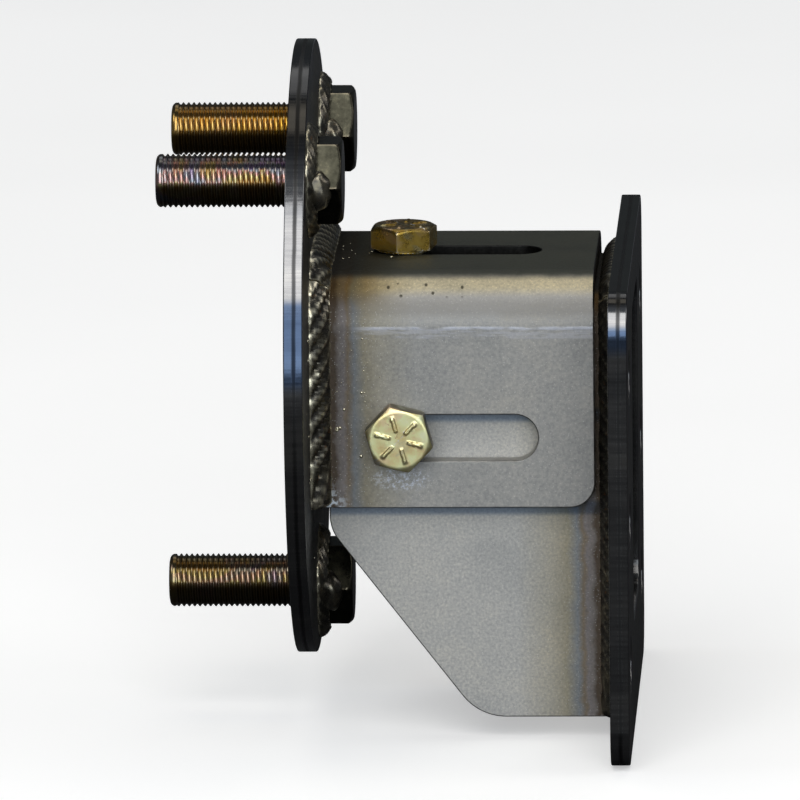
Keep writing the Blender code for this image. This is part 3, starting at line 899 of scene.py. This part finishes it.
def turned(outline, sides):
    """Rings round local Z. A reach or a height in the outline is a number or depends on the angle."""
    rings = []
    for reach, height in outline:
        ring = []
        for i in range(sides):
            a = 2 * pi * i / sides
            out = reach(a) if callable(reach) else reach
            ring.append((out * cos(a), out * sin(a), height(a) if callable(height) else height))
        rings.append(ring)
    return rings


def cone_height(reach, top, flats):
    """The height of the cone that cuts a hexagon's corners down."""
    return top - max(0, reach - flats / 2 * ROUND_FACE) * tan(CHAMFER)


def stroke_height(angle, reach, face_radius):
    gap = 2 * pi / STROKES
    off = abs((angle + gap / 2) % gap - gap / 2) * reach
    share = reach / face_radius
    ends = clamp((share - STROKE_INNER) / STROKE_END) * clamp((STROKE_OUTER - share) / STROKE_END)
    return STROKE_HEIGHT * clamp((STROKE_HALF - off) / STROKE_EDGE) * ends


def headed_bolt(diameter, length, pitch, flats, head, has_strokes):
    """A hex bolt along local Z, with its head's underside at 0 and its tip pointing down."""
    shape = bmesh.new()
    radius = diameter / 2
    step = pitch / STEPS_PER_PITCH
    heights = [-length + index * step for index in range(ceil(length / step))]
    rings = [thread_ring(z, radius, pitch, -length) for z in heights]
    rings += turned([(radius * SHANK, 0)], THREAD_SIDES)
    stack = added(shape, rings)
    inset = [shape.verts.new((v.co.x * TIP_FLAT, v.co.y * TIP_FLAT, v.co.z)) for v in stack[0]]
    shape.faces.new(inset)
    for lower, upper in zip([inset, *stack], stack):
        join(shape, lower, upper)
    washer = flats / 2 * WASHER_FACE
    face_radius = flats / 2 * ROUND_FACE

    def whole(a):
        return hex_reach(a, flats)

    def drawn_in(a):
        return whole(a) - 0.00012

    def cone(reach):
        return cone_height(reach, head, flats)

    outline = [
        (washer, 0),
        (washer, WASHER_HEIGHT),
        (lambda a: min(whole(a), washer * 1.04), WASHER_HEIGHT + 0.00005),
        (whole, WASHER_HEIGHT + 0.0002),
        (whole, 0.0010),
        (whole, head * 0.45),
        (whole, lambda a: cone(whole(a)) - 0.0006),
        (whole, lambda a: cone(whole(a)) - 0.0001),
        (drawn_in, lambda a: cone(drawn_in(a))),
        (face_radius + 0.0001, head - 0.00006),
    ]
    steps = 22 if has_strokes else 3
    for index in range(steps):
        reach = (face_radius - 0.00025) * (1 - index / steps)
        height = head
        if has_strokes:
            height = lambda a, reach=reach: head + stroke_height(a, reach, face_radius)
        outline.append((reach, height))
    rows = added(shape, turned(outline, HEAD_SIDES))
    for lower, upper in zip([stack[-1], *rows], rows):
        join(shape, lower, upper)
    shape.faces.new(rows[-1])
    return shape


def hex_nut(flats, height, bore, pitch):
    """A nut along local Z, from 0 down, chamfered on both faces and threaded inside."""
    face_radius = flats / 2 * ROUND_FACE

    def whole(a):
        return hex_reach(a, flats)

    def drop(a):
        return cone_height(whole(a), 0, flats)

    outline = [
        (bore + NUT_MOUTH, 0),
        (face_radius, 0),
        (whole, drop),
        (whole, lambda a: -height - drop(a)),
        (face_radius, -height),
        (bore + NUT_MOUTH, -height),
    ]
    threaded = height - 2 * NUT_MOUTH
    count = round(threaded / (pitch / 6))
    depth = NUT_DEPTH * THREAD_DEPTH * pitch
    for index in range(count + 1):
        z = -height + NUT_MOUTH + threaded * index / count
        outline.append((
            lambda a, z=z: bore + NUT_ROOT - depth * (1 - thread_root(a, z, pitch)), z
        ))
    shape = bmesh.new()
    loft(shape, turned(outline, NUT_SIDES), closed=True)
    return shape


def stand(shape, location, outward, along, turn):
    """Puts local Z along outward and local X along a direction, then turns it about its axis."""
    across = outward.cross(along)
    axes = Matrix((along, across, outward)).transposed().to_4x4()
    shape.transform(Matrix.Translation(location) @ axes @ Matrix.Rotation(turn, 4, "Z"))


def clamp_hardware(bolt_materials, nut_material):
    along = Vector((1, 0, 0))
    for side, outward, turn in (
        ("near", Vector((0, -1, 0)), NEAR_HEAD_TURN),
        ("top", Vector((0, 0, 1)), TOP_HEAD_TURN),
        ("far", Vector((0, 1, 0)), -NEAR_HEAD_TURN),
    ):
        bolt = f"clamp_bolt_{side}"
        low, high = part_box(bolt)
        half = abs((high - low).dot(outward)) / 2
        under = (low + high) / 2 + outward * (half - CLAMP_HEAD)
        shape = headed_bolt(
            CLAMP_D, 2 * half - CLAMP_HEAD, CLAMP_PITCH, CLAMP_FLATS, CLAMP_HEAD, True
        )
        stand(shape, under, outward, along, turn)
        piece(f"hex_bolt_{side}", shape, bolt, bolt, [bolt_materials[side]])
        nut = f"nut_{side}"
        low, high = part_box(nut)
        shape = hex_nut(CLAMP_FLATS, NUT_HEIGHT, CLAMP_D / 2, CLAMP_PITCH)
        stand(shape, (low + high) / 2 + outward * (NUT_HEIGHT / 2), outward, along, 0)
        piece(f"hex_nut_{side}", shape, "base_bracket", nut, [nut_material])


def wheel_studs(material, bead_material, studs):
    for name, (y, z, tip_x, head_x) in studs.items():
        under = Vector((head_x - STUD_HEAD, y, z))
        shape = headed_bolt(STUD_D, under.x - tip_x, STUD_PITCH, STUD_FLATS, STUD_HEAD, False)
        stand(shape, under, Vector((1, 0, 0)), Vector((0, 1, 0)), 0)
        piece(f"stud_{name}", shape, "wheel_carriage", f"wheel_stud_{name}", [material])
        piece(
            f"stud_bead_{name}", stud_bead(y, z, STUD_BEAD_TURN[name]), "wheel_carriage",
            f"stud_weld_{name}", [bead_material],
        )


# ---- welds

# A bead's leg on the channel and its width on the plate, its folds' pitch and depth, how strong
# the painted highlights on its crests are, and the seed of its unevenness.
Bead = namedtuple("Bead", "leg width pitch depth shine seed")

SLEEVE_BEAD = Bead(SLEEVE_WELD_LEG, SLEEVE_WELD_LEG, 0.0052, 0.00105, 1.0, 3.0)
BASE_BEAD = Bead(BASE_WELD_LEG, BASE_WELD_WIDTH, 0.0034, 0.0005, 0.15, 5.0)
STUD_BEAD = Bead(STUD_WELD_LEG, STUD_WELD_LEG, 0.0030, 0.00042, 0.0, 0.0)
STUD_BEAD_TURN = {"near": radians(4), "far": radians(-7), "lower": radians(9)}
STUD_BEAD_STEPS = 150
WELD_SINK = 0.0003  # how far a bead's toe is let into the plate
CROWN_POINTS = 9
CROWN_POWER = 1.3
CROWN_FULL = 0.94
BEAD_STEP = 0.0004
BEAD_END = 0.0022  # rounding of a run's ends
CRATER = 0.010  # length of the crater where a run stops
FOLD_SLANT = 1.9  # folds that a ripple leans over, from one toe to the other
FINE_PITCH = 0.0008
TOE_RAG = 0.0003
TOE_TUCK = 0.0002
LUMPS = ((radians(184), 1.0), (radians(12), 0.9))  # where they lean, and their size
LUMP_SPREAD = Vector((0.0033, 0.0031, 0.0050))
LUMP_HEIGHT = 0.0026
LUMP_REACH = 0.0098


def uneven(a, b, c):
    return noise.noise(Vector((a, b, c)))


def fold_phase(along, across, pitch, seed):
    """Where a place lies among a bead's slanted folds, counted in folds."""
    wobble = uneven(along * 90, across * 1.5, seed) * 0.22
    return along / pitch + across * FOLD_SLANT + wobble


def ripple(bead, along, across):
    """How far a bead's surface is drawn in: slanted overlapping folds, with finer ones on them."""
    fold = 1 - abs(sin(pi * fold_phase(along, across, bead.pitch, bead.seed))) ** 0.8
    fine = 0.5 + 0.5 * sin(2 * pi * (along / FINE_PITCH + 1.2 * (across - 0.5) ** 2))
    rough = uneven(along * 900, across * 4, bead.seed + 9)
    return bead.depth * (fold + 0.03 * fine + 0.05 * rough)


def glint(bead, along, across):
    """The painted highlight on a fold's crest: a slanted streak on the half of the bead towards the
    plate.
    """
    crest = max(0, 1 - abs(fold_phase(along, across, bead.pitch, bead.seed) % 1 - 0.5) / 0.12)
    window = clamp((across - 0.30) / 0.15) * clamp((0.95 - across) / 0.15)
    patchy = 0.75 + 0.5 * uneven(along * 240, across * 3, bead.seed + 6)
    return bead.shine * min(1, 1.3 * crest * window * patchy)


def crown(bead, along, swell):
    """Cross-section points (off the plate, off the channel), from the channel's face to the plate's."""
    points = [(0, 0)]
    for k in range(CROWN_POINTS):
        across = k / (CROWN_POINTS - 1)
        t = across * pi / 2
        at_channel = k == 0
        at_plate = k == CROWN_POINTS - 1
        inset = 0 if at_channel or at_plate else ripple(bead, along, across) * sin(2 * t) ** 0.5
        rag = TOE_RAG * uneven(along * 350, across * 3, bead.seed + 4) - TOE_TUCK
        u = bead.leg * swell * cos(t) ** CROWN_POWER - inset * cos(t) + rag * at_channel
        v = bead.width * swell * sin(t) ** CROWN_POWER - inset * sin(t) + rag * at_plate
        points.append((max(u, 0), max(v, 0)))
    return points


def u_path(high, low_z, bend, step):
    """Points up the near side, over the top and down the far side, as (y, z, out y, out z, along)."""
    side = high.y - bend
    straight = high.z - bend - low_z
    arc = bend * pi / 2
    half = straight + arc + side
    count = round(2 * half / step)
    stops = []
    for index in range(count + 1):
        s = 2 * half * index / count
        from_foot = min(s, 2 * half - s)
        a = min(max(from_foot - straight, 0), arc) / bend
        y = side + bend * cos(a) - max(from_foot - straight - arc, 0)
        z = low_z + min(from_foot, straight) + bend * sin(a)
        flip = -1 if s <= half else 1
        stops.append((flip * y, z, flip * cos(a), sin(a), s))
    return stops, straight + arc / 2, 2 * half


def weld_runs(bead, high, low_z, bend, face_x, away, nodes, body, material):
    """Three beads round a channel's outside, met at the middles of its bends."""
    stops, first, total = u_path(high, low_z, bend, BEAD_STEP)
    spans = {"near": (0, first), "top": (first, total - first), "far": (total - first, total)}
    shares = [0, *(k / (CROWN_POINTS - 1) for k in range(CROWN_POINTS))]
    for side, (start, end) in spans.items():
        rings = []
        glints = []
        for y, z, out_y, out_z, s in stops:
            if not start - 1e-9 <= s <= end + 1e-9:
                continue
            from_end = min(s, total - s)
            swell = CROWN_FULL * sqrt(1 - max(0, 1 - (from_end + WELD_SINK) / BEAD_END) ** 2)
            swell *= 1 + 0.05 * uneven(s * 130, bead.seed, 2)
            here = bead if from_end > CRATER else bead._replace(pitch=CRATER)
            rings.append([
                (face_x + away * u, y + out_y * v, z + out_z * v) for u, v in crown(here, s, swell)
            ])
            glints.append([glint(here, s, share) for share in shares])
        shape = bmesh.new()
        layer = shape.verts.layers.float.new(GLINT)
        for verts, values in zip(loft(shape, rings), glints):
            for vert, value in zip(verts, values):
                vert[layer] = value
        piece(f"bead_{nodes}_{side}", shape, body, f"{nodes}_{side}", [material])


def stud_bead(y, z, turn):
    shape = bmesh.new()
    bead = STUD_BEAD._replace(seed=y * 100)
    rings = []
    for index in range(STUD_BEAD_STEPS):
        angle = 2 * pi * index / STUD_BEAD_STEPS + turn
        swell = 0.9 + 0.12 * uneven(cos(angle) * 2, sin(angle) * 2, y * 60)
        rings.append([
            (
                wheel_high.x + u,
                y + (STUD_WELD_INNER + v) * cos(angle),
                z + (STUD_WELD_INNER + v) * sin(angle),
            )
            for u, v in crown(bead, STUD_WELD_INNER * angle, swell)
        ])
    loft(shape, rings, closed=True)
    for lean, size in LUMPS:
        lump(shape, y, z, lean, size)
    return shape


def lump(shape, y, z, lean, size):
    """A heavy tack where the bead climbs the stud's head."""
    made = bmesh.ops.create_icosphere(shape, subdivisions=4, radius=1)
    outward = Vector((0, cos(lean), sin(lean)))
    around = Vector((0, -sin(lean), cos(lean)))
    centre = Vector((wheel_high.x + LUMP_HEIGHT * size, y, z)) + outward * LUMP_REACH
    for vert in made["verts"]:
        at = vert.co.copy()
        dent = 1 + 0.13 * noise.noise(at * 1.7 + Vector((y * 400, z * 300, size)))
        dent -= 0.035 * (0.5 + 0.5 * sin(at.y * 9 + at.x * 5))
        spread = LUMP_SPREAD * (size * dent)
        vert.co = (
            centre + Vector((1, 0, 0)) * (at.x * spread.x) + outward * (at.y * spread.y)
            + around * (at.z * spread.z)
        )
        vert.co.x = max(vert.co.x, wheel_high.x)


SPATTER_SEED = 41
SIDE_DROPS = 26
TOP_DROPS = 16
DISC_DROPS = 34
DROP_GAP = 0.0005  # from the weld's toe to the first drop
DROP_FLAT = 0.6  # a drop's height, as a share of its radius
DROP_SMALL = 0.00014
SIDE_MARGIN = 0.002


def spatter(material):
    """Beads of weld metal thrown on to the sleeve and the wheel plate."""
    draw = random.Random(SPATTER_SEED)
    shape = bmesh.new()

    def drop(centre, outward, radius):
        made = bmesh.ops.create_icosphere(shape, subdivisions=2, radius=radius)
        place = Matrix.Translation(centre) @ Matrix.Scale(DROP_FLAT, 4, outward)
        bmesh.ops.transform(shape, matrix=place, verts=made["verts"])

    first_x = sleeve_low.x + SLEEVE_WELD_LEG + DROP_GAP
    straight = sleeve_high.z - sleeve_low.z - SLEEVE_BEND
    for _ in range(SIDE_DROPS):
        x = first_x + draw.random() ** 2 * 0.012
        size = DROP_SMALL + draw.random() ** 3 * 0.00032
        y = draw.choice((-1, -1, 1)) * sleeve_high.y
        z = sleeve_low.z + SIDE_MARGIN + draw.random() * (straight - 2 * SIDE_MARGIN)
        drop(Vector((x, y, z)), Vector((0, 1, 0)), size)
    for _ in range(TOP_DROPS):
        x = first_x + draw.random() ** 2 * 0.014
        size = DROP_SMALL + draw.random() ** 3 * 0.00030
        y = (draw.random() - 0.5) * 0.040
        drop(Vector((x, y, sleeve_high.z)), Vector((0, 0, 1)), size)
    for _ in range(DISC_DROPS):
        angle = draw.random() * 2 * pi
        reach = 0.044 + draw.random() * 0.012
        size = 0.00015 + draw.random() ** 3 * 0.0004
        centre = Vector((wheel_high.x, reach * cos(angle), 0.026 + reach * sin(angle) * 0.9))
        drop(centre, Vector((1, 0, 0)), size)
    piece("weld_spatter", shape, "wheel_carriage", None, [material])


# ---- studio

TARGET = Vector((-0.0560, 0.0, 0.0186))
CAMERA_AZIMUTH = 2.46  # degrees, as are all angles in this section
CAMERA_ELEVATION = 11.5
CAMERA_ROLL = -0.6
CAMERA_DISTANCE = 3.57
CAMERA_SHOWS = 0.1905  # width in view at the target
SENSOR = 36
FLOOR_RADIUS = 12
FLOOR_SIDES = 96
FLOOR_GAP = 0.0004
DARK_REFLECTED_REACH = 0.35  # where the darker floor that reflections and bounce light see begins to fade
DARK_REFLECTED_FADED = 1.3

# name, azimuth, elevation, distance, width, height, watts, colour
LIGHTS = [
    ("key", -4, 44, 2.2, 1.5, 1.7, 22, (1.0, 0.985, 0.96)),
    ("front", 4, 12, 2.5, 2.6, 0.95, 19, (0.88, 0.95, 1.0)),
    ("overhead", 0, 104, 1.9, 1.4, 0.5, 3.5, (1.0, 0.90, 0.72)),
    ("left", -88, 34, 2.4, 1.2, 0.8, 6, (0.95, 0.98, 1.0)),
    ("right", 88, 34, 2.4, 1.2, 0.8, 6, (1.0, 0.98, 0.95)),
    ("back", 180, 52, 2.4, 1.6, 0.8, 5, (1.0, 0.99, 0.97)),
]


def aimed(name, data, azimuth, elevation, distance, roll=0):
    """An object that looks at the target. Azimuth 0 is in front of the near side."""
    thing = bpy.data.objects.new(name, data)
    a = radians(azimuth)
    e = radians(elevation)
    back = Vector((sin(a) * cos(e), -cos(a) * cos(e), sin(e)))
    thing.location = TARGET + back * distance
    thing.rotation_mode = "QUATERNION"
    turn = Quaternion((0, 0, 1), radians(roll))
    thing.rotation_quaternion = (-back).to_track_quat("-Z", "Y") @ turn
    bpy.context.scene.collection.objects.link(thing)
    return thing


def camera():
    data = bpy.data.cameras.new("camera")
    data.sensor_width = SENSOR
    data.lens = SENSOR * CAMERA_DISTANCE / CAMERA_SHOWS
    bpy.context.scene.camera = aimed(
        "camera", data, CAMERA_AZIMUTH, CAMERA_ELEVATION, CAMERA_DISTANCE, CAMERA_ROLL
    )


def lights():
    for name, azimuth, elevation, distance, width, height, watts, colour in LIGHTS:
        data = bpy.data.lights.new(name, "AREA")
        data.shape = "RECTANGLE"
        data.size = width
        data.size_y = height
        data.energy = watts
        data.color = colour
        aimed(name, data, azimuth, elevation, distance).visible_camera = False


def floor():
    r = Recipe("studio_floor", 0.0)
    seen = r.node("ShaderNodeLightPath").outputs["Is Camera Ray"]
    pale = r.ramp(r.noise(3, 3, 0.5), [(0.3, (0.83, 0.83, 0.83)), (0.7, (0.87, 0.87, 0.87))])
    # reflections and bounce light see the floor dark close by and paler further off; the camera sees it
    # pale
    reach = r.node("ShaderNodeVectorMath", operation="LENGTH")
    r.feed(r.place, reach.inputs[0])
    reflected_floor = r.ramp(r.smooth(reach.outputs["Value"], DARK_REFLECTED_REACH, DARK_REFLECTED_FADED), [
        (0.0, (0.025, 0.026, 0.029)), (1.0, (0.22, 0.235, 0.26)),
    ])
    r.feed(pale, r.shader.inputs["Emission Color"])
    r.feed(r.times(seen, 0.50), r.shader.inputs["Emission Strength"])
    material = r.done(r.mix(seen, reflected_floor, pale), 0.9, r.noise(400, 2), 0.0001, 0.1)
    shape = bmesh.new()
    ring = circle((0, 0), FLOOR_RADIUS, FLOOR_SIDES)
    shape.faces.new([shape.verts.new((x, y, 0)) for x, y in ring])
    thing = loose("floor", shape)
    thing.location.z = cad_box[0].z - FLOOR_GAP
    thing.data.materials.append(material)


def surroundings():
    """A pale room for the camera, and a dark one for what the metal mirrors."""
    world = bpy.data.worlds.new("studio")
    bpy.context.scene.world = world
    world.use_nodes = True
    sky = Nodes(world.node_tree)
    place = sky.split(sky.node("ShaderNodeTexCoord").outputs["Generated"])
    low_behind = sky.times(sky.smooth(place["Y"], -0.3, 0.6), sky.smooth(place["Z"], 0.75, 0.25))
    tone = sky.mix(low_behind, (0.13, 0.145, 0.165), (0.045, 0.05, 0.052))
    seen = sky.node("ShaderNodeLightPath").outputs["Is Camera Ray"]
    shown = sky.mix(seen, tone, (0.80, 0.81, 0.82))
    sky.feed(shown, sky.tree.nodes["Background"].inputs["Color"])
    bpy.context.scene.view_settings.view_transform = "Standard"


# ---- assembly

# Where a rim's zones of painted light begin, from the lowest up: painted grey shade, painted blue
# reflection, the bright zone and painted dark shade.
BASE_ZONES = (0.013, 0.0070, 0.0032, 0.0018)  # below the base plate's top
WHEEL_ZONES = (0.004, 0.024, 0.045, 0.060)  # above the wheel plate's centre
CHANNEL_PALE = 0.66
SLEEVE_PALE = 0.505
LINE_UNDER_BEND = 0.0001


def build():
    camera()
    lights()
    floor()
    surroundings()
    face = mill_scale()
    edge = cut_edge()
    weld = weld_metal()
    studs = stud_places()
    base_zones = [base_high.z - drop for drop in BASE_ZONES]
    wheel_zones = [WHEEL_CENTRE_Z + rise for rise in WHEEL_ZONES]
    base_plate(face, plate_rim("base_rim", base_low, base_high, base_zones))
    wheel_plate(face, plate_rim("wheel_rim", wheel_low, wheel_high, wheel_zones), studs)
    inner_channel([pickled_steel(
        "pickled_channel", CHANNEL_PALE, channel_high.x - BASE_WELD_LEG, -1,
        channel_high.z - CHANNEL_BEND - LINE_UNDER_BEND, channel_high.z, False,
    ), edge])
    outer_sleeve([pickled_steel(
        "pickled_sleeve", SLEEVE_PALE, sleeve_low.x + SLEEVE_WELD_LEG, 1,
        sleeve_high.z - SLEEVE_BEND - LINE_UNDER_BEND, sleeve_high.z, True,
    ), edge])
    # the side bolts' zinc has its face painted bright and its sides painted dark; the top bolt's has its
    # top face painted dark
    pale_zinc = zinc_head("pale_zinc", (1.0, 0.95, 0.78), 0.34, "Y", 1.25, 0.14)
    gold_zinc = zinc_head("gold_zinc", (0.78, 0.58, 0.17), 0.22, "Z", 0.30, 0.80)
    clamp_hardware({"near": pale_zinc, "top": gold_zinc, "far": pale_zinc}, pale_zinc)
    wheel_studs(dark_zinc(), weld, studs)
    weld_runs(
        SLEEVE_BEAD, sleeve_high, sleeve_low.z, SLEEVE_BEND, sleeve_low.x - WELD_SINK, 1,
        "sleeve_weld", "wheel_carriage", weld,
    )
    weld_runs(
        BASE_BEAD, channel_high, channel_low.z, CHANNEL_BEND, channel_high.x + WELD_SINK, -1,
        "base_weld", "base_bracket", weld,
    )
    spatter(weld)


build()
